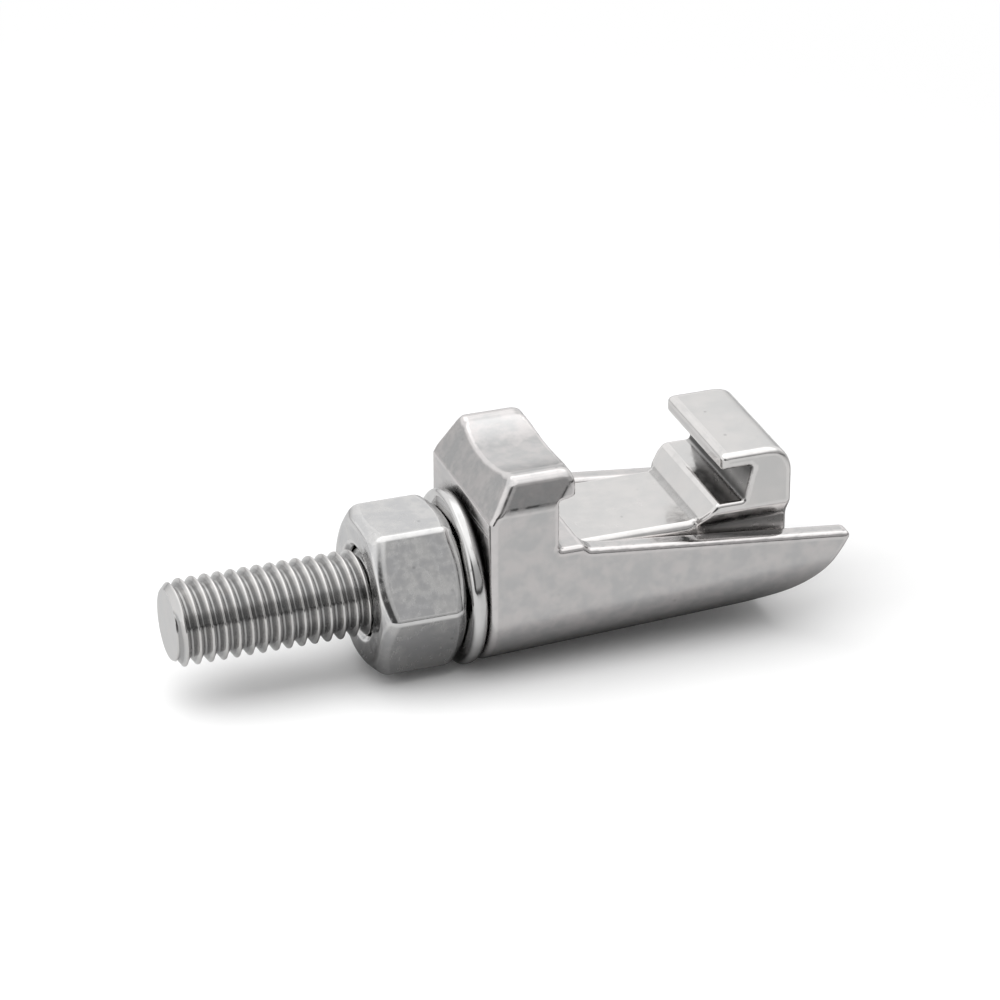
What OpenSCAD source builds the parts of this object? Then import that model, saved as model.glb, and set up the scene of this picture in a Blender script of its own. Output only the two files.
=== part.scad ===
// Double claw clamp for vacuum flanges.
// An outer claw carries a channel, an inner claw slides in the channel on a threaded stud,
// and a hexagon nut with a flat washer draws the two claws together over a pair of flange rims.
// Millimetres. +X runs from the stud's free end to the toe of the outer claw, +Z is the claws' side.

/* [Stud and nut] */
// Nominal diameter of the stud's thread
stud_d = 10; // [8:0.5:12]
// Length of thread that stands out of the outer claw's end face
stud_out = 34.2; // [30:0.5:60]
// Distance from one ridge of the thread to the next
thread_pitch = 1.5; // [1:0.25:2]
// Depth of the thread
thread_depth = 0.9; // [0.4:0.05:1]
// Chamfer at the stud's free end
stud_chamfer = 1; // [0.3:0.1:1.5]
// Diameter of the turned spigot that sits in the inner claw
spigot_d = 7; // [5:0.5:7.5]
// Clearance round the spigot in the inner claw
spigot_gap = 0.03; // [0.02:0.01:0.1]
// Length of the spigot
spigot_l = 11; // [6:0.5:13]
// How far the nut's corners lie inside the outer claw's two sides
nut_inset = 0.185; // [0.1:0.005:1]
// Height of the nut
nut_h = 10.2; // [8:0.1:11]
// Turn of the nut about the stud, from a corner on the horizontal
nut_turn = 3; // [0:1:59]
// Radial clearance between the nut and the stud
nut_clearance = 0.05; // [0.02:0.01:0.1]
// Depth of the countersink at each end of the nut
nut_sink = 0.8; // [0.3:0.1:1.2]
// How far the rim of the nut's flat end faces lies inside its flats
nut_face_inset = 0.5; // [0.2:0.1:1]
// Slope of the chamfer on the nut's corners
nut_chamfer_angle = 30; // [20:1:35]

/* [Washer] */
// How far the washer's rim lies inside the outer claw's two sides
washer_inset = 0; // [0:0.05:0.4]
// Thickness of the washer
washer_t = 2; // [1.5:0.1:2.5]
// Clearance all round the stud in the washer's hole
washer_hole_gap = 0.25; // [0.25:0.05:1]
// Radius of the two edges of the washer's rim
washer_r = 0.8; // [0.2:0.1:0.9]

/* [Outer claw] */
// Width of the outer claw
body_w = 20; // [19:0.5:24]
// Length from the end face to the toe
body_l = 43.4; // [42:0.2:60]
// Depth of the underside below the stud's axis, at the end face
body_depth = 9.4; // [9.2:0.1:10.5]
// Width of the narrow flat along the underside
keel_w = 1.4; // [0.6:0.2:4]
// Climb of the underside towards the toe, in degrees
keel_angle = 2.3; // [0:0.1:3]
// Clearance all round the stud in its hole through the end block
body_hole_gap = 0.4; // [0.25:0.05:1]
// Height of the end face above the stud's axis
end_face_h = 10.85; // [9.5:0.05:11.5]
// Length of the bevel between the end face and the saddle
bevel_l = 3; // [2:0.1:4]
// Height of the claw above the stud's axis, at its two upper edges
claw_h = 15.8; // [15:0.1:17]
// Distance from the end face to the claw's gripping face
claw_nose_x = 10.2; // [9.8:0.1:10.6]
// Depth of the recess under the claw, behind the gripping face
claw_reach = 2.2; // [1.5:0.1:2.4]
// Radius along the top of the gripping face
claw_nose_r = 1.5; // [0.5:0.1:2]
// Thickness of the claw from its two upper edges to its underside
claw_t = 3.35; // [2.8:0.05:4.3]
// Height of the floor under the claw
groove_h = 6.5; // [6.2:0.1:7.5]
// Radius in the corner between the recess and its floor
groove_fillet = 0.5; // [0.4:0.1:1.5]
// Width between the claw's two upper edges
saddle_w = 15.8; // [12:0.2:17]
// Radius of the hollow saddle across the claw
saddle_r = 26; // [20:1:60]
// Height where the sides start to lean in
lean_h = 11.7; // [11:0.1:13]
// How far each side leans in below its rounded edge
lean_in = 1.1; // [0.5:0.1:1.8]

/* [Channel] */
// Width of the channel between the side walls
channel_w = 14.5; // [14.2:0.1:15.5]
// Distance from the end face to the start of the channel
channel_x = 11.2; // [10.8:0.1:12]
// Height of the side walls at the start of the channel
rim_h = 5.95; // [5.8:0.05:6.3]
// Height of the side walls at the toe
toe_h = 2.45; // [1.5:0.05:4]
// Length of the toe's steep front, measured along the stud's axis
toe_front_l = 4; // [3:0.1:6]
// Depth of the toe's lower corner below the stud's axis
toe_knee_depth = 4.6; // [4:0.1:6]
// Radius of the toe's lower corner
knee_r = 3; // [1:0.5:4]
// Length of the toe's gentle rise behind its lower corner
toe_rise_l = 11.4; // [8:0.2:14]
// Radius of the underside where the rise starts
heel_r = 12; // [5:1:20]

/* [Inner claw] */
// Clearance between the inner claw and each wall of the channel
slide_gap = 0.1; // [0.05:0.01:0.15]
// Clearance between the inner claw and the channel's end when the clamp is closed
stop_gap = 0.1; // [0.05:0.05:0.3]
// Height of the inner claw's floor above the stud's axis
floor_h = 5.57; // [5.2:0.01:5.8]
// Opening between the two gripping faces when the clamp is closed
grip_gap = 17.6; // [17:0.1:20]
// Length of the floor before the ramp
floor_l = 14.1; // [13.5:0.1:15]
// Length of the ramp
ramp_l = 2.1; // [1.5:0.1:2.6]
// Height of the slot's floor above the stud's axis
slot_h = 7.9; // [7:0.1:8.2]
// Depth of the slot at the top, from the gripping face
slot_depth = 3.7; // [2.5:0.1:4]
// How much shallower the slot is at its floor
slot_lean = 0.9; // [0:0.1:1.5]
// Thickness of the inner claw over the slot
hook_t = 2.1; // [1.6:0.1:3]
// Height of the inner claw above the stud's axis
hook_h = 14.1; // [13.8:0.1:16]
// Distance from the gripping face to the back of the inner claw
hook_l = 8.5; // [8:0.1:10]
// Radius of the inner claw's rounded back
hook_back_r = 3.2; // [2:0.1:4]
// Width of the inner claw across its upper part
hook_w = 16.8; // [15:0.2:18]
// Clearance over the side walls where the inner claw starts to widen
flare_gap = 0.3; // [0.2:0.1:1]
// Height over which the inner claw widens
flare_rise = 2.2; // [1:0.1:5]

/* [Edges] */
// Radius of the rounded cast edges
edge_r = 0.9; // [0.3:0.1:1]
// Radius of the small edges at the noses and the rims
nose_r = 0.4; // [0.2:0.1:0.5]

/* [Hidden] */
$fn = 96;
arc_step = 10;
over = 1;
tall = 40;
steel = [0.72, 0.72, 0.73];

washer_d = body_w - 2 * washer_inset;
nut_corner_r = body_w / 2 - nut_inset;
nut_flat_r = nut_corner_r * cos(30);

// The stud's axis lies above the floor by the largest radius that can touch it
axis_h = max(washer_d / 2, body_depth);
nut_float = 0.03;
nut_x = -washer_t - nut_float - nut_h;
recess_x = claw_nose_x - claw_reach;
claw_under_h = claw_h - claw_t;
hook_under_h = hook_h - hook_t;
keel_slope = tan(keel_angle);
knee_x = body_l - toe_front_l;
heel_x = knee_x - toe_rise_l;
heel_depth = body_depth - heel_x * keel_slope;
jaw_x = channel_x + stop_gap;
jaw_w = channel_w - 2 * slide_gap;
hook_x = claw_nose_x + grip_gap;
hook_back_x = hook_x + hook_l;
ramp_x = jaw_x + floor_l;
rim_fall = (rim_h - toe_h) / (body_l - channel_x);
flare_h = rim_h - (ramp_x - channel_x) * rim_fall + flare_gap;
full_width_h = flare_h + flare_rise;

// Points of an outline whose corners are rounded. Each corner is [x, y, radius].
function unit(v) = v / norm(v);
function angle_of(v) = atan2(v[1], v[0]);
function turn(a, b) = let(d = b - a) d > 180 ? d - 360 : d < -180 ? d + 360 : d;
function corner(a, b, c) =
    b[2] == 0 ? [[b[0], b[1]]] :
    let(
        p = [b[0], b[1]],
        u = unit([a[0], a[1]] - p),
        v = unit([c[0], c[1]] - p),
        half = acos(u * v) / 2,
        centre = p + unit(u + v) * b[2] / sin(half),
        from = angle_of(p + u * b[2] / tan(half) - centre),
        swing = turn(from, angle_of(p + v * b[2] / tan(half) - centre)),
        steps = max(2, ceil(abs(swing) / arc_step))
    )
    [for (i = [0 : steps])
        let(t = from + swing * i / steps) centre + b[2] * [cos(t), sin(t)]];
function rounded(path) =
    let(n = len(path))
    [for (i = [0 : n - 1]) each corner(path[(i + n - 1) % n], path[i], path[(i + 1) % n])];

// The outer claw's side view, from the underside at the end face round by the toe and the claw
outer_outline = rounded([
    [0, -body_depth, nose_r],
    [heel_x, -heel_depth, heel_r],
    [knee_x, -toe_knee_depth, knee_r],
    [body_l, toe_h, nose_r],
    [channel_x, rim_h, 0],
    [channel_x, groove_h, nose_r / 2],
    [recess_x, groove_h, groove_fillet],
    [recess_x, claw_under_h, nose_r],
    [claw_nose_x, claw_under_h, nose_r],
    [claw_nose_x, claw_h, claw_nose_r],
    [bevel_l, claw_h, nose_r],
    [0, end_face_h, nose_r]
]);

// The origin lies under the middle of the whole length
toe_x = max([for (p = outer_outline) p[0]]);
middle_x = (toe_x - stud_out) / 2;

// Everything is drawn about the stud's axis and then set down on the floor
module place() {
    translate([-middle_x, 0, axis_h])
        children();
}

// A side view, drawn in X and Z, given a width across Y
module side_view(points, width) {
    rotate([90, 0, 0])
        linear_extrude(width, center = true)
            polygon(points);
}

// A cross-section, drawn in Y and Z, given a length along X
module section(length) {
    rotate([90, 0, 90])
        linear_extrude(length)
            children();
}

// A cylinder along X
module bar(d, from, to) {
    translate([from, 0, 0])
        rotate([0, 90, 0])
            cylinder(d = d, h = to - from);
}

// The round underside climbs slightly towards the toe, so its sweep is tilted
module outer_round_underside() {
    round_r = (body_w - keel_w) / 2;
    translate([0, 0, -body_depth])
        rotate([0, -keel_angle, 0])
            translate([-over, 0, 0])
                section(body_l + 2 * over) {
                    for (side = [-1, 1])
                        translate([side * keel_w / 2, round_r])
                            circle(round_r);
                    translate([-body_w / 2, round_r])
                        square([body_w, tall]);
                    translate([-keel_w / 2, 0])
                        square([keel_w, round_r]);
                }
}

module outer_upper_section() {
    half_w = body_w / 2;
    upper = [
        [half_w, -tall, 0],
        [half_w, lean_h, nose_r],
        [half_w - lean_in, claw_h - edge_r, edge_r / 2],
        [saddle_w / 2, claw_h, edge_r / 2]
    ];
    mirrored = [for (i = [len(upper) - 1 : -1 : 0]) [-upper[i][0], upper[i][1], upper[i][2]]];
    translate([-over, 0, 0])
        section(body_l + 2 * over)
            polygon(rounded(concat(upper, mirrored)));
}

module saddle() {
    drop = saddle_r - sqrt(pow(saddle_r, 2) - pow(saddle_w / 2, 2));
    translate([0, 0, claw_h - drop + saddle_r])
        bar(2 * saddle_r, -over, claw_nose_x + over);
}

module channel() {
    translate([channel_x, 0, 0])
        section(body_l) {
            circle(d = channel_w);
            translate([-channel_w / 2, 0])
                square([channel_w, tall]);
        }
}

module outer_claw() {
    color(steel)
    place()
    difference() {
        intersection() {
            side_view(outer_outline, body_w);
            outer_round_underside();
            outer_upper_section();
        }
        saddle();
        channel();
        bar(stud_d + 2 * body_hole_gap, -over, channel_x + over);
    }
}

module inner_side_view() {
    side_view(rounded([
        [jaw_x, -channel_w, 0],
        [hook_back_x, -channel_w, 0],
        [hook_back_x, hook_h, hook_back_r],
        [hook_x, hook_h, nose_r],
        [hook_x, hook_under_h, nose_r],
        [hook_x + slot_depth, hook_under_h, nose_r],
        [hook_x + slot_depth - slot_lean, slot_h, nose_r],
        [ramp_x + ramp_l, slot_h, edge_r],
        [ramp_x, floor_h, edge_r],
        [jaw_x, floor_h, nose_r / 2]
    ]), hook_w + 2 * over);
}

// The keel fills the channel, and the head is wider and stands over the side walls
module inner_keel() {
    translate([jaw_x - over, 0, 0])
        section(hook_back_x - jaw_x + 2 * over) {
            circle(d = jaw_w);
            translate([-jaw_w / 2, 0])
                square([jaw_w, full_width_h]);
        }
}

module inner_head() {
    upper = [
        [jaw_w / 2, 0, 0],
        [jaw_w / 2, flare_h, 0],
        [hook_w / 2, full_width_h, edge_r],
        [hook_w / 2, hook_h, edge_r]
    ];
    mirrored = [for (i = [len(upper) - 1 : -1 : 0]) [-upper[i][0], upper[i][1], upper[i][2]]];
    translate([ramp_x, 0, 0])
        section(hook_back_x - ramp_x + over)
            polygon(rounded(concat(upper, mirrored)));
}

module inner_claw() {
    color(steel)
    place()
    difference() {
        intersection() {
            inner_side_view();
            union() {
                inner_keel();
                inner_head();
            }
        }
        bar(spigot_d + 2 * spigot_gap, jaw_x - over, jaw_x + spigot_l);
    }
}

// The thread is drawn as plain rings, one for each turn of the real helix
module threaded_stud() {
    crest_r = stud_d / 2;
    first_x = stud_chamfer - stud_out;
    turns = floor((jaw_x - first_x) / thread_pitch);
    color(steel)
    place()
    rotate([0, 90, 0])
        rotate_extrude()
            polygon(concat(
                [[0, -stud_out], [crest_r - stud_chamfer, -stud_out]],
                [for (i = [0 : turns - 1]) each [
                    [crest_r, first_x + i * thread_pitch],
                    [crest_r - thread_depth, first_x + (i + 0.5) * thread_pitch]
                ]],
                [
                    [crest_r, first_x + turns * thread_pitch],
                    [crest_r, jaw_x],
                    [spigot_d / 2, jaw_x],
                    [spigot_d / 2, jaw_x + spigot_l],
                    [0, jaw_x + spigot_l]
                ]
            ));
}

// A hexagon bar whose corners are turned down to a cone at both ends
module hex_nut() {
    face_r = nut_flat_r - nut_face_inset;
    cone_r = nut_corner_r + over;
    cone_l = (cone_r - face_r) * tan(nut_chamfer_angle);
    bore_r = stud_d / 2 + nut_clearance;
    color(steel)
    place()
    translate([nut_x, 0, 0])
        rotate([0, 90, 0])
            difference() {
                intersection() {
                    rotate([0, 0, nut_turn + 30])
                        cylinder(r = nut_corner_r, h = nut_h, $fn = 6);
                    rotate_extrude()
                        polygon([
                            [0, 0],
                            [face_r, 0],
                            [cone_r, cone_l],
                            [cone_r, nut_h - cone_l],
                            [face_r, nut_h],
                            [0, nut_h]
                        ]);
                }
                rotate_extrude()
                    polygon([
                        [0, -over],
                        [bore_r + nut_sink + over, -over],
                        [bore_r, nut_sink],
                        [bore_r, nut_h - nut_sink],
                        [bore_r + nut_sink + over, nut_h + over],
                        [0, nut_h + over]
                    ]);
            }
}

module flat_washer() {
    hole_r = stud_d / 2 + washer_hole_gap;
    rim_r = washer_d / 2;
    color(steel)
    place()
    rotate([0, 90, 0])
        rotate_extrude()
            polygon(rounded([
                [hole_r, -washer_t, 0],
                [rim_r, -washer_t, washer_r],
                [rim_r, 0, washer_r],
                [hole_r, 0, 0]
            ]));
}

outer_claw();
inner_claw();
threaded_stud();
hex_nut();
flat_washer();
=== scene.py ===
# %% [markdown]
# # A double claw clamp in bright steel
#
# A double claw clamp holds two vacuum flanges together. The outer claw is a casting with a long
# channel, the inner claw slides in that channel, and a nut on a threaded stud pulls the two together.
#
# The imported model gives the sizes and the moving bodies. This lesson dresses each piece: it rounds
# the cast edges, cuts a real thread, and gives every surface its own steel.

# %% Load the frame
import math

import bpy
import numpy as np
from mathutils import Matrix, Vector


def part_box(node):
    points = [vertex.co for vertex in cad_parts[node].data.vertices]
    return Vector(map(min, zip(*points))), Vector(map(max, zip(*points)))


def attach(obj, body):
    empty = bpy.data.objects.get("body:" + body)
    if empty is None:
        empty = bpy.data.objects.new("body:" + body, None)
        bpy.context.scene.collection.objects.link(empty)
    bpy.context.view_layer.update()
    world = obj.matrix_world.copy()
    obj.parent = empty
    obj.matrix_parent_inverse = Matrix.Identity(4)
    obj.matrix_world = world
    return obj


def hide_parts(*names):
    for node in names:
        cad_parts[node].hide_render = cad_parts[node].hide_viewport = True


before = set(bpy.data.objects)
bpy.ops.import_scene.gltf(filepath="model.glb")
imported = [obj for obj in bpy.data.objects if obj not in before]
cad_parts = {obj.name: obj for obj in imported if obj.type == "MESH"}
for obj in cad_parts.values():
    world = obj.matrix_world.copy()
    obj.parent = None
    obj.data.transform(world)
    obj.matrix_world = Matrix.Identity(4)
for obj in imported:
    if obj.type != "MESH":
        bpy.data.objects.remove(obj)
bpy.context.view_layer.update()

print("nodes:", sorted(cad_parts))

# %% [markdown]
# ## Where the sizes are measured from
#
# A clamp maker measures along the stud: X from the end face of the outer claw, where the washer
# sits, and Z from the stud's axis. All lengths below are in millimetres from there. `to_frame` turns
# them into metres in the frame, and it finds the end face from the washer's own box.

# %% Measuring frame
MM = 0.001
washer_low, washer_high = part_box("flat_washer")
stud_low, stud_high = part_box("threaded_stud")
nut_low, nut_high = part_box("hex_nut")
end_face_x = washer_high.x
axis_z = (stud_low.z + stud_high.z) / 2


def to_frame(points):
    """Millimetres from the end face and the stud's axis, to metres in the frame."""
    return np.asarray(points, float) * MM + np.array([end_face_x, 0.0, axis_z])


def from_frame(x):
    """A place along the stud in the frame, as millimetres from the end face."""
    return (x - end_face_x) / MM


print(f"the end face is at x = {end_face_x:.5f} m, the stud's axis at z = {axis_z:.5f} m")

# %% [markdown]
# ## Cast edges from distance fields
#
# A casting that has been tumbled has no sharp edge: each one is a small round, and on bright metal
# that round is the brightest line on the piece. A bevel modifier could cut it, but where a saddle, a
# bevel and a leaning side meet in one corner it leaves knots.
#
# A distance field gives each point in space its distance to the surface, negative inside. Two fields
# are intersected with `meet`, which rounds the edge between them by a radius that may change along
# the piece. A side view is a list of corners, each with its own radius.

# %% Rounded corners
def corner_arc(before, corner, after):
    """The arc that rounds one corner: its centre, radius, two ends, middle direction and half angle."""
    p, radius = np.array(corner[:2], float), corner[2]
    u = np.array(before[:2], float) - p
    v = np.array(after[:2], float) - p
    u /= np.linalg.norm(u)
    v /= np.linalg.norm(v)
    half = math.acos(float(np.clip(u @ v, -1, 1))) / 2
    middle = (u + v) / np.linalg.norm(u + v)
    reach = radius / math.tan(half)
    return p + middle * radius / math.sin(half), radius, p + u * reach, p + v * reach, -middle, half


def walk_corner(arc, steps):
    """Points along one rounded corner."""
    centre, radius, start, end, out, half = arc
    first, last = start - centre, end - centre
    swing = math.atan2(first[0] * last[1] - first[1] * last[0], first @ last)
    turns = [swing * step / steps for step in range(steps + 1)]
    return [centre + np.array([first[0] * math.cos(t) - first[1] * math.sin(t),
                               first[0] * math.sin(t) + first[1] * math.cos(t)]) for t in turns]


# %% Fields for outlines
def outline_field(path, steps=24):
    """Signed distance to a closed outline of straight lines and rounded corners."""
    count = len(path)
    arcs = [corner_arc(path[i - 1], path[i], path[(i + 1) % count]) for i in range(count)]
    lines = [(arcs[i][3], arcs[(i + 1) % count][2]) for i in range(count)]
    ring = []
    for arc in arcs:
        ring += walk_corner(arc, steps) if arc[1] > 0 else [arc[2]]

    def field(a, b):
        a, b = np.broadcast_arrays(np.asarray(a, float), np.asarray(b, float))
        nearest = np.full(a.shape, 1e9)
        for start, end in lines:
            e = end - start
            wa, wb = a - start[0], b - start[1]
            t = np.clip((wa * e[0] + wb * e[1]) / max(e @ e, 1e-12), 0, 1)
            nearest = np.minimum(nearest, np.hypot(wa - t * e[0], wb - t * e[1]))
        for centre, radius, start, end, out, half in arcs:
            if radius > 0:
                wa, wb = a - centre[0], b - centre[1]
                far = np.hypot(wa, wb)
                facing = wa * out[0] + wb * out[1] >= far * math.sin(half)
                nearest = np.where(facing, np.minimum(nearest, abs(far - radius)), nearest)
        inside = np.zeros(a.shape, bool)
        for start, end in zip(ring, ring[1:] + ring[:1]):
            crosses = (start[1] > b) != (end[1] > b)
            rise = end[1] - start[1] or 1e-12
            inside ^= crosses & (a < (end[0] - start[0]) * (b - start[1]) / rise + start[0])
        return np.where(inside, -nearest, nearest)

    return field


def plane_field(point, normal):
    """Distance to a straight line in the side view. The normal points out of the metal."""
    length = math.hypot(*normal)
    return lambda a, b: ((a - point[0]) * normal[0] + (b - point[1]) * normal[1]) / length


# %% Joining fields
def meet(a, b, radius):
    """What lies in both solids, with the edge between them rounded."""
    rounded = np.hypot(np.maximum(a + radius, 0), np.maximum(b + radius, 0))
    return np.minimum(np.maximum(a, b), -radius) + rounded


def carve(a, b, radius):
    """The first solid without the second, with a rounded rim."""
    return meet(a, -b, radius)


def join(a, b, radius):
    """Both solids together, with a fillet in the corner between them."""
    return -meet(-a, -b, radius)


def ease(value, low, high):
    """0 below low, 1 above high and a smooth step between."""
    t = np.clip((value - low) / (high - low), 0, 1)
    return t * t * (3 - 2 * t)


# %% [markdown]
# A field becomes a mesh with surface nets: space is cut into cells, each cell that the surface
# crosses gets one vertex, and neighbours are joined into quads. The grid is fine where edges are and
# coarse along straight walls. Each vertex is then moved down the field's own slope onto the true
# surface, and the slope is kept as its normal, so reflections run smoothly.

# %% From a field to vertices and quads
def graded(low, high, fine_bands, fine=0.2, coarse=0.55):
    """Grid lines from low to high that lie close together inside the fine bands."""
    lines = [low]
    while lines[-1] < high:
        here = lines[-1]
        near = any(a - coarse <= here <= b for a, b in fine_bands)
        lines.append(here + (fine if near else coarse))
    return np.array(lines)


def slope(field, points, step=0.004):
    """The field's gradient at each point."""
    x, y, z = points.T
    return np.stack([
        field(x + step, y, z) - field(x - step, y, z),
        field(x, y + step, z) - field(x, y - step, z),
        field(x, y, z + step) - field(x, y, z - step)], 1) / (2 * step)


def net_vertices(value, lines):
    """One vertex for each cell that the surface crosses, and the number of each such cell."""
    cells = tuple(n - 1 for n in value.shape)
    total = np.zeros(cells + (3,))
    hits = np.zeros(cells)
    inside = value < 0
    for axis in range(3):
        low, high = [slice(None)] * 3, [slice(None)] * 3
        low[axis], high[axis] = slice(0, -1), slice(1, None)
        a, b = value[tuple(low)], value[tuple(high)]
        cross = inside[tuple(low)] != inside[tuple(high)]
        where = np.argwhere(cross)
        place = np.stack([lines[k][where[:, k]] for k in range(3)], 1)
        place[:, axis] += a[cross] / (a[cross] - b[cross]) * np.diff(lines[axis])[where[:, axis]]
        others = [k for k in range(3) if k != axis]
        for da in (0, -1):
            for db in (0, -1):
                cell = where.copy()
                cell[:, others[0]] += da
                cell[:, others[1]] += db
                fits = np.all((cell >= 0) & (cell < np.array(cells)), axis=1)
                index = tuple(cell[fits].T)
                np.add.at(total, index, place[fits])
                np.add.at(hits, index, 1)
    used = hits > 0
    number = np.full(cells, -1)
    number[used] = np.arange(used.sum())
    return total[used] / hits[used][:, None], number


def net_quads(value, number):
    """A quad round each grid line that passes through the surface."""
    inside = value < 0
    quads = []
    for axis in range(3):
        others = [k for k in range(3) if k != axis]
        low, high = [slice(1, -1)] * 3, [slice(1, -1)] * 3
        low[axis], high[axis] = slice(0, -1), slice(1, None)
        first, second = inside[tuple(low)], inside[tuple(high)]
        where = np.argwhere(first != second)
        leaving = first[tuple(where.T)]
        for k in others:
            where[:, k] += 1
        ring = []
        for da, db in ((-1, -1), (0, -1), (0, 0), (-1, 0)):
            cell = where.copy()
            cell[:, others[0]] += da
            cell[:, others[1]] += db
            ring.append(number[tuple(cell.T)])
        ring = np.stack(ring, 1)
        flip = leaving if axis == 1 else ~leaving
        ring[flip] = ring[flip][:, ::-1]
        quads.append(ring)
    return np.concatenate(quads)


# %% [markdown]
# Wear follows the shape: a proud edge is rubbed bright and a corner stays dull. A bevel node in the
# material could find the edges, but it is slow to render. So the bend of the surface is worked out here
# once, from how the normals of neighbouring vertices spread, and kept on the mesh as an attribute
# called `bend`. It is in 1/mm, above zero on edges and below zero in corners.

# %% The bend attribute
def bend_of(points, faces, normals):
    """The strongest bend at each vertex, in 1/mm."""
    ring = np.array([f for f in faces if len(f) == 4])
    pairs = np.concatenate([ring[:, [k, (k + 1) % 4]] for k in range(4)])
    across = points[pairs[:, 1]] - points[pairs[:, 0]]
    opening = ((normals[pairs[:, 1]] - normals[pairs[:, 0]]) * across).sum(1)
    bend = opening / np.maximum((across * across).sum(1), 1e-4)
    most, least = np.zeros(len(points)), np.zeros(len(points))
    for end in (0, 1):
        np.maximum.at(most, pairs[:, end], bend)
        np.minimum.at(least, pairs[:, end], bend)
    return np.where(most >= -least, most, least)


# %% Mesh objects
surfaces = {}


def keep_attribute(mesh, name, values):
    """Keeps one number for each vertex on the mesh, where a material can read it."""
    mesh.attributes.new(name, "FLOAT", "POINT").data.foreach_set("value", values)


def mesh_piece(name, points, faces, normals):
    """A mesh object from points in millimetres, with its own normals and the bend attribute."""
    points, normals = np.asarray(points, float), np.asarray(normals, float)
    faces = [list(map(int, f)) for f in faces]
    mesh = bpy.data.meshes.new(name)
    mesh.from_pydata(to_frame(points).tolist(), [], faces)
    mesh.validate()
    mesh.polygons.foreach_set("use_smooth", [True] * len(mesh.polygons))
    mesh.normals_split_custom_set_from_vertices(normals.tolist())
    keep_attribute(mesh, "bend", bend_of(points, faces, normals))
    mesh.update()
    piece = bpy.data.objects.new(name, mesh)
    bpy.context.scene.collection.objects.link(piece)
    surfaces[name] = (points, normals)
    triangles = sum(len(p.vertices) - 2 for p in mesh.polygons)
    print(f"{name}: {len(mesh.vertices)} vertices, {triangles} triangles")
    return piece


def solid_piece(name, field, lines):
    """Meshes a field on a graded grid and settles its vertices on the surface."""
    value = field(lines[0][:, None, None], lines[1][None, :, None], lines[2][None, None, :])
    points, number = net_vertices(value, lines)
    quads = net_quads(value, number)
    for _ in range(3):
        g = slope(field, points)
        size = np.maximum((g * g).sum(1), 0.25)
        step = g * (field(*points.T) / size)[:, None]
        points -= np.clip(step, -0.15, 0.15)
    g = slope(field, points)
    return mesh_piece(name, points, quads, g / np.maximum(np.linalg.norm(g, axis=1), 1e-9)[:, None])


# %% [markdown]
# ## The outer claw
#
# The outer claw starts as a bar with a round underside that climbs a little towards the toe. The end
# block carries the hooked claw with its bevel, its hollow saddle and its leaning sides. The rest is a
# channel with a round floor, and its two rims are crowned all the way to the toe.

# %% Outer claw sizes
WIDTH = 20.0
HALF_WIDTH = WIDTH / 2
UNDER_DEPTH = 9.4
KEEL_WIDTH = 1.4
KEEL_ANGLE = math.radians(2.3)
CLAW_TOP = 15.8
NOSE_X, RECESS_X, CHANNEL_X = 10.2, 8.0, 11.2
CHANNEL_WIDTH = 14.7
RIM_HIGH, RIM_LOW = 5.95, 2.45
BODY_LENGTH = 43.4
KNEE_X, KNEE_Z = 39.4, -4.6
HEEL_X = 28.0
HEEL_Z = -(UNDER_DEPTH - HEEL_X * math.tan(KEEL_ANGLE))
SADDLE_WIDTH, SADDLE_RADIUS = 15.8, 26.0
BEVEL_X, BEVEL_Z = 3.0, 10.85
CLAW_UNDER, RECESS_FLOOR = 12.45, 6.5
LEAN_Z, LEAN_HALF, LEAN_TOP = 11.7, 8.9, 14.9
CROWN_HALF, CROWN_Z = 7.9, 16.4
BORE_RADIUS = 5.4
NOSE_TAPER = 0.43
rim_fall = (RIM_HIGH - RIM_LOW) / (BODY_LENGTH - CHANNEL_X)
saddle_drop = SADDLE_RADIUS - math.sqrt(SADDLE_RADIUS ** 2 - (SADDLE_WIDTH / 2) ** 2)

outer_side = outline_field([
    [0, -14, 0], [60, -14, 0], [60, RIM_HIGH - rim_fall * (60 - CHANNEL_X), 0],
    [CHANNEL_X + 0.5, RIM_HIGH - 0.05, 0.9], [CHANNEL_X - 0.3, RECESS_FLOOR, 0.9],
    [RECESS_X, RECESS_FLOOR, 0.5], [RECESS_X, CLAW_UNDER, 0.4],
    [NOSE_X, CLAW_UNDER, 0.4], [NOSE_X, CLAW_TOP, 1.6],
    [BEVEL_X, CLAW_TOP, 0.6], [0, BEVEL_Z, 0.5]])
outer_upper = outline_field([
    [HALF_WIDTH, -40, 0], [HALF_WIDTH, LEAN_Z, 0.8], [LEAN_HALF, LEAN_TOP, 0.7],
    [CROWN_HALF, CROWN_Z, 0], [-CROWN_HALF, CROWN_Z, 0],
    [-LEAN_HALF, LEAN_TOP, 0.7], [-HALF_WIDTH, LEAN_Z, 0.8], [-HALF_WIDTH, -40, 0]])
heel_plane = plane_field((HEEL_X, HEEL_Z), (KNEE_Z - HEEL_Z, -(KNEE_X - HEEL_X)))
front_plane = plane_field((KNEE_X, KNEE_Z), (RIM_LOW - KNEE_Z, -(BODY_LENGTH - KNEE_X)))
print(f"the rims fall {rim_fall:.3f} mm for each mm, the saddle is {saddle_drop:.2f} mm deep")


# %% Outer claw field
def round_underside(x, y, z):
    """The bar's round underside, tilted by the climb of its lowest line."""
    c, s = math.cos(KEEL_ANGLE), math.sin(KEEL_ANGLE)
    height = -x * s + (z + UNDER_DEPTH) * c
    radius = (WIDTH - KEEL_WIDTH) / 2
    across = abs(y) - KEEL_WIDTH / 2
    low = np.hypot(np.maximum(across, 0), height - radius) - radius
    return np.where(height < radius, low, across - radius)


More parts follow.
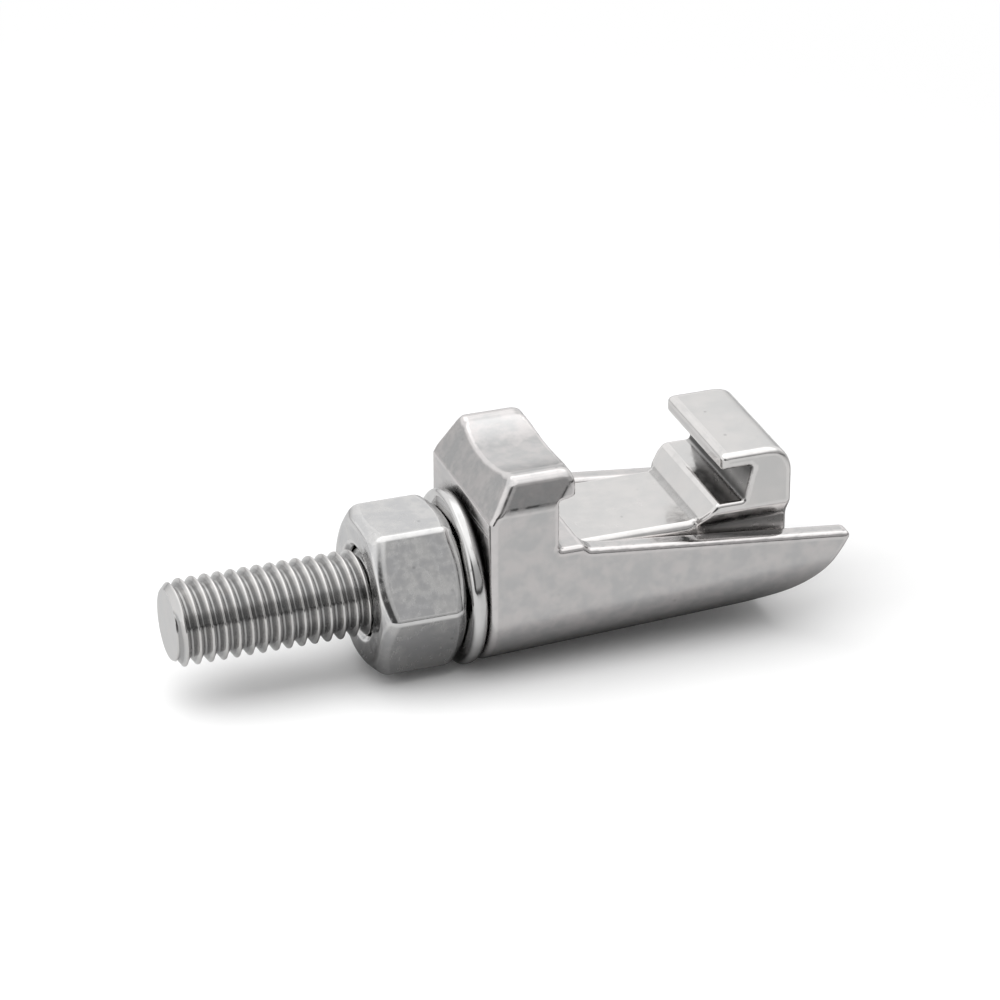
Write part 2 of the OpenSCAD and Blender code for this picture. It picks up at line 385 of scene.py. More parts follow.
def outer_claw_field(x, y, z):
    """The casting: bar, leaning sides and side view, less the saddle, the channel and the stud's bore."""
    toe = meet(heel_plane(x, z), front_plane(x, z), 3.0)
    bar = meet(round_underside(x, y, z), toe, 0.5)
    crisp = ease(x, 5.5, 7.5) * ease(z, 6.3, 7.3) * (1 - ease(z, 13.5, 15))
    solid = meet(meet(bar, outer_upper(y, z), 0.3), outer_side(x, z), 0.8 - 0.45 * crisp)
    taper = (abs(y) - HALF_WIDTH + NOSE_TAPER * (x - RECESS_X - 0.2)) * math.cos(math.atan(NOSE_TAPER))
    solid = np.where((z > 9.5) & (x > 6), meet(solid, taper, 0.4), solid)
    saddle = SADDLE_RADIUS - np.hypot(y, z - (CLAW_TOP - saddle_drop + SADDLE_RADIUS))
    solid = meet(solid, saddle, 0.2 + 0.3 * ease(abs(y), 6.0, 7.0))
    trough = np.where(z < 0, np.hypot(y, z), abs(y)) - CHANNEL_WIDTH / 2
    channel = meet(CHANNEL_X - x, trough, 0.3)
    solid = carve(solid, channel, 0.35 + 0.4 * ease(x, 11.5, 14))
    bore = meet(np.hypot(y, z) - BORE_RADIUS, x - CHANNEL_X - 1, 0.1)
    return carve(solid, bore, 0.2)


# %% Outer claw mesh
outer_claw = solid_piece("outer_claw_casting", outer_claw_field, [
    graded(-0.6, 44.2, [(-1, 12), (38.5, 44)], 0.2, 0.6),
    graded(-10.6, 10.6, [(-11, -6.6), (6.6, 11)], 0.2, 0.5),
    graded(-10.3, 16.6, [(1.2, 17)], 0.2, 0.4)])
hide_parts("outer_claw")
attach(outer_claw, "clamp_body")

# %% [markdown]
# ## The inner claw
#
# The inner claw fills the channel with a round keel. Where the ramp begins, its sides widen to a head
# that stands over the rims, with a hook, an undercut slot for the flange rim and a rounded back.

# %% Inner claw sizes
JAW_X = 11.3
HOOK_X = 27.8
HOOK_BACK_X = 36.3
FLOOR_Z = 5.57
SLOT_Z = 7.9
HOOK_UNDER_Z, HOOK_TOP_Z = 12.0, 14.1
RAMP_X, RAMP_LENGTH = 25.4, 2.1
SLOT_DEPTH, SLOT_FOOT = 3.7, 2.8
FLARE_RISE = 2.2
SPIGOT_BORE = 3.6
FLARE_Z = RIM_HIGH - (RAMP_X - CHANNEL_X) * rim_fall + 0.3
KEEL_HALF, HEAD_HALF = 7.05, 8.4

inner_side = outline_field([
    [JAW_X, -14.5, 0], [HOOK_BACK_X, -14.5, 0], [HOOK_BACK_X, HOOK_TOP_Z, 3.2], [HOOK_X, HOOK_TOP_Z, 0.9],
    [HOOK_X, HOOK_UNDER_Z, 0.4], [HOOK_X + SLOT_DEPTH, HOOK_UNDER_Z, 0.3],
    [HOOK_X + SLOT_FOOT, SLOT_Z, 0.4], [RAMP_X + RAMP_LENGTH, SLOT_Z, 0.9],
    [RAMP_X, FLOOR_Z, 0.9], [JAW_X, FLOOR_Z, 0.3]])
inner_head = outline_field([
    [KEEL_HALF, -20, 0], [KEEL_HALF, FLARE_Z, 1.0], [HEAD_HALF, FLARE_Z + FLARE_RISE, 1.2],
    [HEAD_HALF, HOOK_TOP_Z, 0.9], [-HEAD_HALF, HOOK_TOP_Z, 0.9], [-HEAD_HALF, FLARE_Z + FLARE_RISE, 1.2],
    [-KEEL_HALF, FLARE_Z, 1.0], [-KEEL_HALF, -20, 0]])
print(f"the head starts to widen {FLARE_Z:.2f} mm above the stud's axis")


# %% Inner claw field and mesh
def inner_claw_field(x, y, z):
    """The casting: keel and head cut to the side view, with a blind bore for the stud's spigot."""
    keel = np.where(z < 0, np.hypot(y, z), np.maximum(abs(y), z - 10)) - KEEL_HALF
    head = meet(inner_head(y, z), RAMP_X - x, 0.5)
    width = join(np.maximum(keel, z - FLOOR_Z - 0.5), np.maximum(head, -z), 0.3)
    edge = 1.1 - 0.6 * ease(x, 24.2, 26) + 0.25 * ease(z, 10.5, 12.5)
    solid = meet(width, inner_side(x, z), edge)
    return carve(solid, np.hypot(y, z) - SPIGOT_BORE + 10 * ease(x, 21, 24), 0.1)


inner_claw = solid_piece("inner_claw_casting", inner_claw_field, [
    graded(10.6, 37.0, [(10, 12.5), (24, 37)], 0.2, 0.6),
    graded(-9.1, 9.1, [(-9.5, -5.8), (5.8, 9.5)], 0.2, 0.5),
    graded(-7.8, 14.8, [(3.5, 15)], 0.2, 0.45)])
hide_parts("inner_claw")
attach(inner_claw, "jaw")

# %% [markdown]
# ## The nut
#
# A nut is a hexagon bar with its corners turned down to a cone at both ends. Cold forming leaves the
# six long edges well rounded, which is where the nut shines.

# %% Nut field and mesh
NUT_HALF = 5.1
NUT_FLATS = 17.0
NUT_TURN = math.radians(3)
NUT_CHAMFER, NUT_BORE, NUT_SINK = 8.0, 5.05, 5.6
nut_middle = from_frame((nut_low.x + nut_high.x) / 2)
corner_radius = NUT_FLATS / 2 / math.cos(math.radians(30))
hexagon = outline_field([
    [corner_radius * math.cos(math.radians(60 * k)), corner_radius * math.sin(math.radians(60 * k)), 0.8]
    for k in range(6)])


def hex_nut_field(x, y, z):
    """A hexagon bar between two cones, with a bore and a countersink."""
    c, s = math.cos(NUT_TURN), math.sin(NUT_TURN)
    a, b = y * c - z * s, y * s + z * c
    along = abs(x - nut_middle) - NUT_HALF
    radial = np.hypot(y, z)
    tilt = math.radians(30)
    cone = (radial - NUT_CHAMFER) * math.sin(tilt) + along * math.cos(tilt)
    solid = meet(meet(hexagon(a, b), cone, 0.85), along, 0.2)
    sink = (NUT_SINK - radial + along) / math.sqrt(2)
    return meet(meet(solid, NUT_BORE - radial, 0.1), sink, 0.1)


hex_nut = solid_piece("hex_nut_forging", hex_nut_field, [
    nut_middle + graded(-5.6, 5.6, [(-6, -3.2), (3.0, 6)], 0.14, 0.4),
    graded(-10.4, 10.4, [(-11, 11)], 0.2, 0.2),
    graded(-9.4, 9.4, [(-10, 10)], 0.2, 0.2)])
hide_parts("hex_nut")
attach(hex_nut, "nut")

# %% [markdown]
# ## The washer
#
# A washer is stamped from sheet and tumbled, so its rim is almost a half round. It is turned here
# from a profile of corners with their own radii, and each point of the profile carries its normal.

# %% Profiles and lathe
def soft_profile(path, steps=8):
    """Points and normals of a closed profile, walked clockwise, whose corners carry their own radii."""
    ring, out = [], []
    for i in range(len(path)):
        arc = corner_arc(path[i - 1], path[i], path[(i + 1) % len(path)])
        for point in walk_corner(arc, steps):
            ring.append(point)
            out.append((point - arc[0]) / arc[1])
    return np.array(ring), np.array(out)


def lathe(name, path, segments=160):
    """Turns a profile of (x, radius, corner radius) about the stud's axis."""
    ring, out = soft_profile(path)
    turns = np.arange(segments) * 2 * math.pi / segments
    c, s = np.cos(turns), np.sin(turns)

    def spin(values):
        along = np.repeat(values[:, :1], segments, 1)
        return np.stack([along, values[:, 1:] * c, values[:, 1:] * s], 2).reshape(-1, 3)

    faces = []
    for row in range(len(ring)):
        next_row = (row + 1) % len(ring)
        for k in range(segments):
            n = (k + 1) % segments
            faces.append([row * segments + k, row * segments + n,
                          next_row * segments + n, next_row * segments + k])
    return mesh_piece(name, spin(ring), faces, spin(out))


# %% Washer
WASHER_BORE, WASHER_RIM, WASHER_THICK = 5.25, 9.99, 2.0
flat_washer = lathe("flat_washer_ring", [
    [-WASHER_THICK, WASHER_BORE, 0.1], [-WASHER_THICK, WASHER_RIM, 0.65],
    [0.0, WASHER_RIM, 1.15], [0.0, WASHER_BORE, 0.1]])
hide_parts("flat_washer")
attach(flat_washer, "clamp_body")
print(f"the packed washer is {from_frame(washer_high.x) - from_frame(washer_low.x):.2f} mm thick")

# %% [markdown]
# ## The stud
#
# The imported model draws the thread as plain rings. The real one is a helix, so each row of vertices
# here follows the helix itself, and crests and roots stay crisp with few faces. Where the thread
# meets the chamfered end, the radius is simply limited by the chamfer's cone.

# %% Thread profile
PITCH = 1.5
STUD_START = from_frame(stud_low.x)
THREAD_END = JAW_X
CREST, ROOT = 4.88, 4.05
END_RADIUS = 4.0
END_RINGS = (END_RADIUS, 3.6, 1.8)
# Each pair is a share of the pitch and a share of the thread's depth.
thread_profile = [(0.0, 0.79), (0.04, 0.95), (0.09, 1.0), (0.15, 1.0), (0.20, 0.95), (0.24, 0.79),
                  (0.49, 0.14), (0.54, 0.03), (0.62, 0.0), (0.70, 0.03), (0.75, 0.14)]
print(f"{(THREAD_END - STUD_START) / PITCH:.1f} turns of thread, {CREST - ROOT:.2f} mm deep")


# %% Rows along the helix
def thread_rows(segments=120):
    """Rows of vertices along the helix, from before the chamfer to the end inside the claw."""
    turns = int((THREAD_END - STUD_START) / PITCH) + 3
    points, faces = [], []
    for turn in range(turns):
        for share, height in thread_profile:
            for k in range(segments):
                angle = 2 * math.pi * k / segments
                x = STUD_START + PITCH * (turn - 1 + share + k / segments)
                inside = min(max(x, STUD_START), THREAD_END)
                radius = min(ROOT + (CREST - ROOT) * height, END_RADIUS + inside - STUD_START)
                points.append((inside, radius * math.cos(angle), radius * math.sin(angle)))
    step = len(thread_profile)
    rows = turns * step
    for row in range(rows - 1):
        for k in range(segments):
            here = row * segments + k
            if k < segments - 1:
                faces.append([here, here + 1, here + segments + 1, here + segments])
            elif row + 1 + step < rows:
                faces.append([here, (row + step) * segments, (row + 1 + step) * segments, here + segments])
    return points, faces


# %% Ends and normals
def end_disc(points, faces, x, radii, facing, segments=120):
    """A flat end of rings and a middle point, facing +1 or -1 along the stud."""
    first = len(points)
    for radius in radii:
        for k in range(segments):
            angle = 2 * math.pi * k / segments
            points.append((x, radius * math.cos(angle), radius * math.sin(angle)))
    points.append((x, 0, 0))
    for ring in range(len(radii) - 1):
        for k in range(segments):
            n = (k + 1) % segments
            a, b = first + ring * segments, first + (ring + 1) * segments
            faces.append([a + k, a + n, b + n, b + k][::facing])
    last = first + (len(radii) - 1) * segments
    for k in range(segments):
        faces.append([last + k, last + (k + 1) % segments, len(points) - 1][::facing])


def smooth_normals(points, faces):
    """Vertex normals from the faces round each vertex."""
    points = np.asarray(points, float)
    total = np.zeros_like(points)
    for size in (3, 4):
        ring = np.array([f for f in faces if len(f) == size])
        if len(ring):
            across = points[ring[:, 2]] - points[ring[:, 0]]
            other = points[ring[:, -1]] - points[ring[:, 1]]
            normal = np.cross(across, other)
            for k in range(size):
                np.add.at(total, ring[:, k], normal)
    return total / np.maximum(np.linalg.norm(total, axis=1), 1e-12)[:, None]


# %% Stud
points, faces = thread_rows()
end_disc(points, faces, STUD_START, END_RINGS, -1)
end_disc(points, faces, THREAD_END, END_RINGS, 1)
threaded_stud = mesh_piece("threaded_stud_bar", points, faces, smooth_normals(points, faces))
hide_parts("threaded_stud")
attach(threaded_stud, "jaw")

# %% [markdown]
# ## Painted shade in gaps
#
# The slot, the channel and the face behind the washer get a painted shade that darkens them, like the
# shade in a gap. An ambient occlusion node could find them, but it is slow, and it would also count
# the pieces that only slide past. The fields already know how far the metal is from any point. Walking
# out from each vertex in five directions, and asking how soon another surface comes near, gives a
# second attribute, which sets this painted shade.

# %% Plain fields of the turned pieces
def washer_field(x, y, z):
    """The washer without its rounds, as wide as the claw."""
    radial = np.hypot(y, z)
    half = WASHER_THICK / 2
    return np.maximum(np.maximum(radial - HALF_WIDTH, WASHER_BORE - radial), abs(x + half) - half)


def stud_field(x, y, z):
    """The stud as a bar as thick as the roots of its thread."""
    return np.maximum(np.hypot(y, z) - ROOT, np.maximum(STUD_START - x, x - THREAD_END))


# %% How deep in a gap a vertex is, for the painted shade
def gap_shade_of(points, normals, fields, reaches=(1.0, 4.0)):
    """0 in the open and towards 1 deep in a gap, from five directions round each normal."""
    side = np.cross(normals, np.where(abs(normals[:, :1]) < 0.7, (1.0, 0, 0), (0, 1.0, 0)))
    side /= np.linalg.norm(side, axis=1)[:, None]
    other = np.cross(normals, side)
    total = np.zeros(len(points))
    for lean in (0, side, -side, other, -other):
        way = normals + lean
        way /= np.linalg.norm(way, axis=1)[:, None]
        share = (way * normals).sum(1)
        for reach in reaches:
            spot = (points + way * reach).T
            away = np.minimum.reduce([field(*spot) for field in fields])
            total += np.clip(1 - away / (reach * share), 0, 1) / (5 * len(reaches))
    return total


# %% [markdown]
# On the inner claw three places get their painted shade set apart. The slot's back wall and the foot
# of the fillet under the head get more of it, and the slot's floor less than the distances give.
# A mask could be painted by hand, but the sizes of the claw already say where these places are.

# %% More and less painted shade on the inner claw
WALL_MORE, FLOOR_SHARE, FILLET_MORE = 0.38, 0.7, 0.6
SLOT_MIDDLE, SLOT_HALF = 10, 2.3


def hook_corners(points, normals, gap_shade):
    """More painted shade on the slot's back wall and under the head, and less on the slot's floor."""
    x, z = points[:, 0], points[:, 2]
    beside, up = abs(normals[:, 1]), normals[:, 2]
    slot_wall = (normals[:, 0] < -0.5) & (x > HOOK_X + 2) & (abs(z - SLOT_MIDDLE) < SLOT_HALF)
    slot_floor = (up > 0.7) & (x > RAMP_X + 2) & (abs(z - SLOT_Z) < 0.3)
    fillet = (x > RAMP_X + 1) & (z > FLARE_Z - 1.5) & (up < 0.3) & (beside > 0.5)
    gap_shade[slot_wall] += WALL_MORE
    gap_shade[slot_floor] *= FLOOR_SHARE
    fading = 1 - ease(z[fillet], FLARE_Z - 0.2, FLARE_Z + 1.5)
    gap_shade[fillet] += FILLET_MORE * (beside[fillet] - 0.5) / 0.5 * fading


# %% [markdown]
# Only pieces that move together shade each other, so a sliding piece carries no stripe where it
# leaves the channel.

# %% Painted shade on each piece
body_fields = (outer_claw_field, washer_field)
jaw_fields = (inner_claw_field, stud_field)
companions = {outer_claw: body_fields, flat_washer: body_fields, inner_claw: jaw_fields,
              threaded_stud: jaw_fields, hex_nut: (hex_nut_field,)}
for piece, fields in companions.items():
    points, normals = surfaces[piece.name]
    gap_shade = gap_shade_of(points, normals, fields)
    if piece is inner_claw:
        hook_corners(points, normals, gap_shade)
    keep_attribute(piece.data, "gap_shade", gap_shade)
    print(f"{piece.name}: shelter {gap_shade.mean():.2f} on average, {gap_shade.max():.2f} at most")

# %% [markdown]
# ## Steel
#
# All the metal is the same kind of steel, and what tells the pieces apart is how each was finished. The
# castings were tumbled, which leaves a soft sheen with slow waves, faint clouds and small pits. The
# nut, the washer and the stud were cold formed, so they are smoother and carry fine marks.
#
# Four effects are shared by all the materials: clouds, pits and waves, wear with painted shade, and
# fine marks. Each is a node group with named inputs, built once and placed in each material with its
# own values. A few helpers keep the wiring short enough to read.

# %% Helpers for node groups
def new_group(name, inputs, outputs):
    """An empty node group with float inputs (name, value) and float outputs."""
    group = bpy.data.node_groups.new(name, "ShaderNodeTree")
    for label, value in inputs:
        socket = group.interface.new_socket(name=label, in_out="INPUT", socket_type="NodeSocketFloat")
        socket.default_value = value
    for label in outputs:
        group.interface.new_socket(name=label, in_out="OUTPUT", socket_type="NodeSocketFloat")
    return group, group.nodes.new("NodeGroupInput"), group.nodes.new("NodeGroupOutput")


def node(tree, kind, inputs=None, **settings):
    """A node with its settings, and its inputs set to values or linked to sockets."""
    made = tree.nodes.new("ShaderNode" + kind)
    for key, value in settings.items():
        setattr(made, key, value)
    for key, value in (inputs or {}).items():
        if isinstance(value, bpy.types.NodeSocket):
            tree.links.new(value, made.inputs[key])
        else:
            made.inputs[key].default_value = value
    return made


# %% Helpers for values
def sums(tree, operation, a, b):
    """A Math node on two values or sockets."""
    return node(tree, "Math", {0: a, 1: b}, operation=operation).outputs[0]


def spread(tree, value, low, high, to_low=0.0, to_high=1.0):
    """Maps a range of values to another, with a smooth step."""
    made = node(tree, "MapRange", {"Value": value, "From Min": low, "From Max": high, "To Min": to_low,
                                   "To Max": to_high}, interpolation_type="SMOOTHSTEP")
    return made.outputs[0]


def blend(tree, share, first, second):
    """A mix of two colours: the first at a share of 0 and the second at 1."""
    return node(tree, "Mix", {0: share, 6: first, 7: second}, data_type="RGBA").outputs[2]


def kept(tree, name):
    """The number that a mesh keeps for each vertex under this name."""
    return node(tree, "Attribute", attribute_name=name, attribute_type="GEOMETRY").outputs["Fac"]


def millimetres(tree):
    """A place on the piece in millimetres, so the size of each pattern is a real size."""
    place = node(tree, "TexCoord").outputs["Object"]
    return node(tree, "VectorMath", {0: place, 1: (1000, 1000, 1000)}, operation="MULTIPLY").outputs[0]


# %% [markdown]
# Tumbled steel is never one even grey. Where the stones rubbed longer it is a little brighter and
# smoother, in faint clouds a few millimetres across. An image could be painted and wrapped round each
# piece, but it would blur close up. Two sizes of noise, measured in millimetres, fit any shape.

# %% Clouds
def cloud_group():
    """Faint clouds that change the shade and the sheen."""
    group, given, result = new_group("clouds", [("Size", 4.0), ("Contrast", 1.0)], ["Shade", "Sheen"])
    contrast = given.outputs["Contrast"]
    frequency = sums(group, "DIVIDE", 1.0, given.outputs["Size"])
    finer = sums(group, "MULTIPLY", frequency, 2.6)
    place = millimetres(group)
    broad = node(group, "TexNoise", {"Vector": place, "Scale": frequency, "Detail": 3.0, "Roughness": 0.5})
    fine = node(group, "TexNoise", {"Vector": place, "Scale": finer, "Detail": 2.5})
    both = sums(group, "ADD", sums(group, "MULTIPLY", broad.outputs["Fac"], 0.65),
                sums(group, "MULTIPLY", fine.outputs["Fac"], 0.35))
    shade = sums(group, "SUBTRACT", spread(group, both, 0.36, 0.64), 0.5)
    sheen = sums(group, "SUBTRACT", spread(group, fine.outputs["Fac"], 0.35, 0.65), 0.5)
    group.links.new(sums(group, "MULTIPLY", shade, contrast), result.inputs["Shade"])
    group.links.new(sums(group, "MULTIPLY", sheen, contrast), result.inputs["Sheen"])
    return group


clouds = cloud_group()
print("clouds:", [item.name for item in clouds.interface.items_tree])


# %% [markdown]
# A casting keeps something of its mould: slow waves under the polish, a fine grain, and a small pit
# here and there. As geometry they would need millions of faces. A bump node only bends the
# reflections, which is all that the eye sees of them, so the group puts out their height. For the
# pits, space is cut into cells, and each cell draws whether it holds one.

# %% Pits and waves
def surface_group():
    """Slow waves, a fine grain and scattered pits: a height in millimetres, and a mask of the pits."""
    group, given, result = new_group(
        "pits_and_waves",
        [("Wave Height", 0.01), ("Wave Size", 4.0), ("Grain Height", 0.001), ("Grain Size", 0.3),
         ("Pit Depth", 0.01)],
        ["Height", "Pits"])
    place = millimetres(group)
    wave_scale = sums(group, "DIVIDE", 1.0, given.outputs["Wave Size"])
    grain_scale = sums(group, "DIVIDE", 1.0, given.outputs["Grain Size"])
    waves = node(group, "TexNoise", {"Vector": place, "Scale": wave_scale, "Detail": 1.5}).outputs["Fac"]
    grain = node(group, "TexNoise", {"Vector": place, "Scale": grain_scale, "Detail": 3.0}).outputs["Fac"]
    cells = node(group, "TexVoronoi", {"Vector": place, "Scale": 0.5})
    chance = node(group, "SeparateColor", {0: cells.outputs["Color"]}).outputs[0]
    hole = sums(group, "MULTIPLY", spread(group, cells.outputs["Distance"], 0.14, 0.04),
                spread(group, chance, 0.7, 0.85))
    height = sums(group, "ADD", sums(group, "MULTIPLY", waves, given.outputs["Wave Height"]),
                  sums(group, "MULTIPLY", grain, given.outputs["Grain Height"]))
    height = sums(group, "SUBTRACT", height, sums(group, "MULTIPLY", hole, given.outputs["Pit Depth"]))
    group.links.new(height, result.inputs["Height"])
    group.links.new(hole, result.inputs["Pits"])
    return group


pits_and_waves = surface_group()
print("pits and waves:", [item.name for item in pits_and_waves.interface.items_tree])


# %% [markdown]
# Hands and stones rub the proud edges bright. The corners get a painted shade that dulls them, and
# the gaps a painted shade that is almost black. The group reads the two numbers that each mesh keeps,
# the bend and the depth in a gap, and turns them into three masks. Wear is never even, so a noise
# makes the edges and the corners patchy.

# %% Wear and painted shade
def wear_and_shade_group():
    """Masks of the edges that are rubbed bright, and of the painted shade in corners and in gaps."""
    group, given, result = new_group(
        "wear_and_shade", [("Edge Bend", 0.9), ("Corner Bend", 0.8)], ["Edge", "Corner", "Gap Shade"])
    bend = kept(group, "bend")
    hollow = sums(group, "MULTIPLY", bend, -1.0)
    place = millimetres(group)
    patchy = node(group, "TexNoise", {"Vector": place, "Scale": 0.7, "Detail": 3.0}).outputs["Fac"]
    edge = spread(group, sums(group, "DIVIDE", bend, given.outputs["Edge Bend"]), 0.25, 1.0)
    corner = spread(group, sums(group, "DIVIDE", hollow, given.outputs["Corner Bend"]), 0.15, 1.0)
    edge_patches = spread(group, patchy, 0.3, 0.55, 0.5, 1.0)
    corner_patches = spread(group, patchy, 0.3, 0.6, 0.85, 1.0)
    group.links.new(sums(group, "MULTIPLY", edge, edge_patches), result.inputs["Edge"])
    group.links.new(sums(group, "MULTIPLY", corner, corner_patches), result.inputs["Corner"])
    group.links.new(spread(group, kept(group, "gap_shade"), 0.28, 0.92), result.inputs["Gap Shade"])
    return group


wear_and_shade = wear_and_shade_group()
print("wear:", [item.name for item in wear_and_shade.interface.items_tree])


# %% [markdown]
# Dies, rollers and sliding leave fine lines on steel. Here they run across the stud's axis, round the
# nut and the stud. Cutting them would be as wasteful as cutting the grain. A noise that is squeezed
# along the clamp and stretched across it gives them, and a slower noise lets them come and go.

# %% Fine marks
def marks_group():
    """Fine lines that run across the clamp, as a mask."""
    group, given, result = new_group(
        "fine_marks", [("Size", 0.25), ("Length", 12.0), ("Amount", 1.0)], ["Marks"])
    place = node(group, "SeparateXYZ", {0: millimetres(group)})
    size = given.outputs["Size"]
    length = sums(group, "MULTIPLY", given.outputs["Size"], given.outputs["Length"])
    along = node(group, "CombineXYZ", {0: sums(group, "DIVIDE", place.outputs[0], size),
                                       1: sums(group, "DIVIDE", place.outputs[1], length),
                                       2: sums(group, "DIVIDE", place.outputs[2], length)})
    lines = node(group, "TexNoise", {"Vector": along.outputs[0], "Scale": 1.0, "Detail": 3.0,
                                     "Roughness": 0.7}).outputs["Fac"]
    slow = node(group, "TexNoise", {"Vector": millimetres(group), "Scale": 0.35, "Detail": 2.0})
    marks = sums(group, "MULTIPLY", spread(group, lines, 0.52, 0.72),
                 spread(group, slow.outputs["Fac"], 0.4, 0.6, 0.3, 1.0))
    group.links.new(sums(group, "MULTIPLY", marks, given.outputs["Amount"]), result.inputs["Marks"])
    return group


fine_marks = marks_group()
print("fine marks:", [item.name for item in fine_marks.interface.items_tree])


# %% [markdown]
# ## One way to wire a steel
#
# The colour runs from a cool to a warm grey with the clouds. Over that come the worn edges, which are
# brighter, the pits, which are duller, a painted shade that dulls the corners, and a painted shade in
# the gaps, which is almost black.

# %% Colour of a steel
EDGE_GAIN, EDGE_SHARE = 1.18, 0.7
# The corner share and the dark gain set painted shade: duller corners and almost black gaps.
DULL_GAIN, CORNER_SHARE, PIT_SHARE = 0.45, 0.6, 0.45
DARK_GAIN = 0.2


def steel_colour(tree, cool, warm, shade, edge, dull_and_corner_shade, painted_gap_shade):
    """The base colour, from two greys and four masks."""
    bright = tuple(min(1.0, c * EDGE_GAIN) for c in warm)
    dull = tuple(c * DULL_GAIN for c in cool)
    dark = tuple(c * DARK_GAIN for c in cool)
    colour = blend(tree, sums(tree, "ADD", shade, 0.5), (*cool, 1), (*warm, 1))
    colour = blend(tree, sums(tree, "MULTIPLY", edge, EDGE_SHARE), colour, (*bright, 1))
    # Painted shade: corners turn as dull as the pits, and gaps almost black.
    colour = blend(tree, dull_and_corner_shade, colour, (*dull, 1))
    return blend(tree, painted_gap_shade, colour, (*dark, 1))


# %% [markdown]
# The roughness follows the same masks. Worn edges are a little smoother, and pits, fine marks and
# the painted shade of corners and gaps are rougher, so those places lose their reflections as well as
# their brightness.

# %% Roughness of a steel
CLOUD_ROUGH, EDGE_SMOOTH, DULL_ROUGH, GAP_SHADE_ROUGH = 0.16, 0.05, 0.14, 0.2


def steel_roughness(tree, roughness, sheen, edge, dull_and_corner_shade, painted_gap_shade):
    """The roughness, from the finish's own value and four masks."""
    rough = sums(tree, "ADD", sums(tree, "MULTIPLY", sheen, CLOUD_ROUGH), roughness)
    rough = sums(tree, "SUBTRACT", rough, sums(tree, "MULTIPLY", edge, EDGE_SMOOTH))
    rough = sums(tree, "ADD", rough, sums(tree, "MULTIPLY", dull_and_corner_shade, DULL_ROUGH))
    return sums(tree, "ADD", rough, sums(tree, "MULTIPLY", painted_gap_shade, GAP_SHADE_ROUGH))


# %% [markdown]
# One function wires a whole steel. The Principled shader stays in the material itself with a plain
# Metallic of 1, because the export can't read a shader inside a group.

# %% A steel from the groups
MARK_DEPTH = 0.0015


def placed(tree, group, **values):
    """A node group in a material, with its inputs set."""
    made = tree.nodes.new("ShaderNodeGroup")
    made.node_tree = group
    for label, value in values.items():
        made.inputs[label.replace("_", " ")].default_value = value
    return made.outputs


def steel(name, cool, warm, roughness, cloud, relief, bends, marks):
    """A steel with two greys, a roughness and its own values for each group."""
    material = bpy.data.materials.new(name)
    material.use_nodes = True
    tree = material.node_tree
    shader = tree.nodes["Principled BSDF"]
    shader.inputs["Metallic"].default_value = 1
    shade, sheen = placed(tree, clouds, **cloud)
    height, pits = placed(tree, pits_and_waves, **relief)
    edge, corner, painted_gap_shade = placed(tree, wear_and_shade, **bends)
    marked = placed(tree, fine_marks, **marks)[0]
    # Pits are dull; the corner mask adds a painted shade that dulls the corners too.
    dull_and_corner_shade = sums(tree, "MAXIMUM", sums(tree, "MULTIPLY", corner, CORNER_SHARE),
                sums(tree, "MULTIPLY", pits, PIT_SHARE))
    colour = steel_colour(tree, cool, warm, shade, edge, dull_and_corner_shade, painted_gap_shade)
    rough = steel_roughness(tree, roughness, sheen, edge, sums(tree, "MAXIMUM", dull_and_corner_shade, marked), painted_gap_shade)
    height = sums(tree, "SUBTRACT", height, sums(tree, "MULTIPLY", marked, MARK_DEPTH))
    bump = node(tree, "Bump", {"Height": height, "Strength": 1.0, "Distance": MM})
    tree.links.new(colour, shader.inputs["Base Color"])
    tree.links.new(rough, shader.inputs["Roughness"])
    tree.links.new(bump.outputs[0], shader.inputs["Normal"])
    return material


def dress(piece, material):
    """Gives a piece its finish."""
    piece.data.materials.append(material)
    print(piece.name, "is", material.name)


# %% [markdown]
# The outer claw came out of a drum of small stones. It is the darkest of the pieces, with the deepest
# waves, a few pits and hardly a line on it.

# %% Tumbled casting
tumbled_casting = steel(
    "tumbled_casting", cool=(0.51, 0.51, 0.51), warm=(0.615, 0.592, 0.587), roughness=0.17,
    cloud=dict(Size=2.4, Contrast=0.85),
    relief=dict(Wave_Height=0.016, Wave_Size=4.0, Grain_Height=0.0001, Grain_Size=0.4, Pit_Depth=0.006),
    bends=dict(Edge_Bend=1.0, Corner_Bend=0.9), marks=dict(Size=0.3, Length=5.0, Amount=0.12))
dress(outer_claw, tumbled_casting)

# %% [markdown]
# The inner claw was tumbled too, and then it slides: it is brighter and its clouds are broader. Its
# pits are rubbed shallow, and sliding has left some lines.

# %% Sliding casting
sliding_casting = steel(
    "sliding_casting", cool=(0.61, 0.605, 0.6), warm=(0.67, 0.655, 0.645), roughness=0.17,
    cloud=dict(Size=4.5, Contrast=0.9),
    relief=dict(Wave_Height=0.014, Wave_Size=4.5, Grain_Height=0.0001, Grain_Size=0.4, Pit_Depth=0.003),
    bends=dict(Edge_Bend=1.0, Corner_Bend=0.9), marks=dict(Size=0.3, Length=6.0, Amount=0.4))
dress(inner_claw, sliding_casting)

# %% [markdown]
# The nut is pressed cold in a die. Its faces are flatter than a casting's, with strong small clouds
# and the most lines of all the pieces.

# %% Forged nut
forged_nut = steel(
    "forged_nut", cool=(0.545, 0.545, 0.55), warm=(0.62, 0.615, 0.61), roughness=0.16,
    cloud=dict(Size=2.2, Contrast=1.3),
    relief=dict(Wave_Height=0.007, Wave_Size=3.0, Grain_Height=0.0001, Grain_Size=0.3, Pit_Depth=0.003),
    bends=dict(Edge_Bend=1.0, Corner_Bend=0.9), marks=dict(Size=0.16, Length=14.0, Amount=0.8))
dress(hex_nut, forged_nut)

